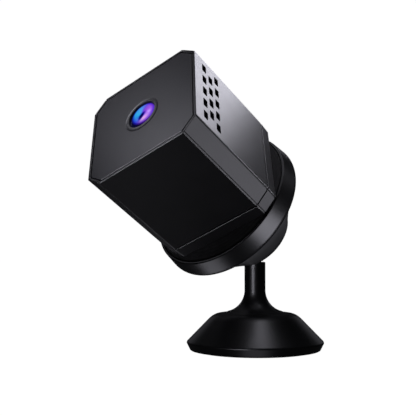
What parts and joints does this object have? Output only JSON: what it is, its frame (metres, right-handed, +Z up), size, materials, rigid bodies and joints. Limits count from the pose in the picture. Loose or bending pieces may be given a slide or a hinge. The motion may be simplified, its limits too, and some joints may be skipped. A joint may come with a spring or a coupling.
{
  "type": "security camera",
  "caption": "Small black octagonal security camera on a magnetic ball-joint stand with a round weighted foot.",
  "frame": {"origin": "centre of the foot pad's underside, where the stand rests", "axes": "+Z up along the neck of the stand, -Y towards the side that the camera looks to, +X across"},
  "size_m": [0.0458, 0.0777, 0.0855],
  "materials": {
    "case": "black ABS, moulded with a fine satin texture",
    "front_panel": "charcoal infrared-passing acrylic, fine matt",
    "bezel": "polished black",
    "lens_glass": "optical glass with a blue-violet coating",
    "lens_barrel": "black anodised",
    "dark_resin": "moulded black resin",
    "circuit_board": "green solder mask",
    "tinned_steel": "stamped and tin plated",
    "amber_film": "polyimide film",
    "cell_wrap": "heat-shrunk wrap",
    "rubber": "matt black silicone rubber",
    "zinc_steel": "bright zinc plate",
    "nickel_magnet": "nickel-plated magnet",
    "nylon": "black nylon, natural moulded finish",
    "clear_diffuser": "frosted polycarbonate"
  },
  "bodies": {
    "stand": {"stand_shell": "case", "foot_pad": "rubber", "bottom_cover": "case", "base_weight": "zinc_steel", "ball_stem": "zinc_steel", "stem_nut": "zinc_steel", "stem_washer": "zinc_steel"},
    "ball_sleeve": {"ball_sleeve": "nylon"},
    "bracket": {"bracket_shell": "case", "grip_pad": "rubber", "bracket_magnet": "nickel_magnet", "ball_seat": "nylon", "retaining_ring": "nylon"},
    "head": {"main_shell": "case", "rear_cap": "case", "front_panel": "front_panel", "lens_bezel": "bezel", "front_lens": "lens_glass", "usb_socket": "tinned_steel", "status_light": "clear_diffuser", "lens_barrel": "lens_barrel", "middle_lens": "lens_glass", "rear_lens": "lens_glass", "lens_holder": "dark_resin", "ir_filter": "lens_glass", "image_sensor": "dark_resin", "sensor_board": "circuit_board", "infrared_led_1": "clear_diffuser", "infrared_led_2": "clear_diffuser", "infrared_led_3": "clear_diffuser", "infrared_led_4": "clear_diffuser", "main_board": "circuit_board", "processor_chip": "dark_resin", "microphone": "tinned_steel", "wifi_module": "tinned_steel", "ribbon_cable": "amber_film", "battery": "cell_wrap", "antenna_strip": "amber_film", "speaker": "dark_resin", "speaker_gasket": "rubber", "card_socket": "tinned_steel", "power_switch": "tinned_steel", "reset_switch": "tinned_steel", "cling_disc": "zinc_steel", "cap_screw_1": "zinc_steel", "cap_screw_2": "zinc_steel", "cap_screw_3": "zinc_steel", "cap_screw_4": "zinc_steel"},
    "power_button": {"power_button": "case"},
    "reset_button": {"reset_button": "nylon"},
    "memory_card": {"memory_card": "dark_resin"}
  },
  "joints": [
    {"name": "ball_pan", "type": "hinge", "parent": "stand", "child": "ball_sleeve", "pos_m": [0, 0, 0.0354], "axis": [0, 0, 1], "continuous": true},
    {"name": "ball_tilt", "type": "hinge", "parent": "ball_sleeve", "child": "bracket", "pos_m": [0, 0, 0.0354], "axis": [1, 0, 0], "range_deg": [-117, 2]},
    {"name": "head_turn", "type": "hinge", "parent": "bracket", "child": "head", "pos_m": [0, -0.01464, 0.04722], "axis": [0, -0.8434, 0.5373], "continuous": true},
    {"name": "power_press", "type": "slide", "parent": "head", "child": "power_button", "axis": [0.5045, -0.4639, -0.7282], "range_m": [0, 0.0005], "stiffness_N_per_m": 1000, "springref_m": -0.0005},
    {"name": "reset_press", "type": "slide", "parent": "head", "child": "reset_button", "axis": [0.5045, -0.4639, -0.7282], "range_m": [0, 0.0005], "stiffness_N_per_m": 1000, "springref_m": -0.0005},
    {"name": "card_slide", "type": "slide", "parent": "head", "child": "memory_card", "axis": [-0.8634, -0.2711, -0.4255], "range_m": [0, 0.013]}
  ]
}
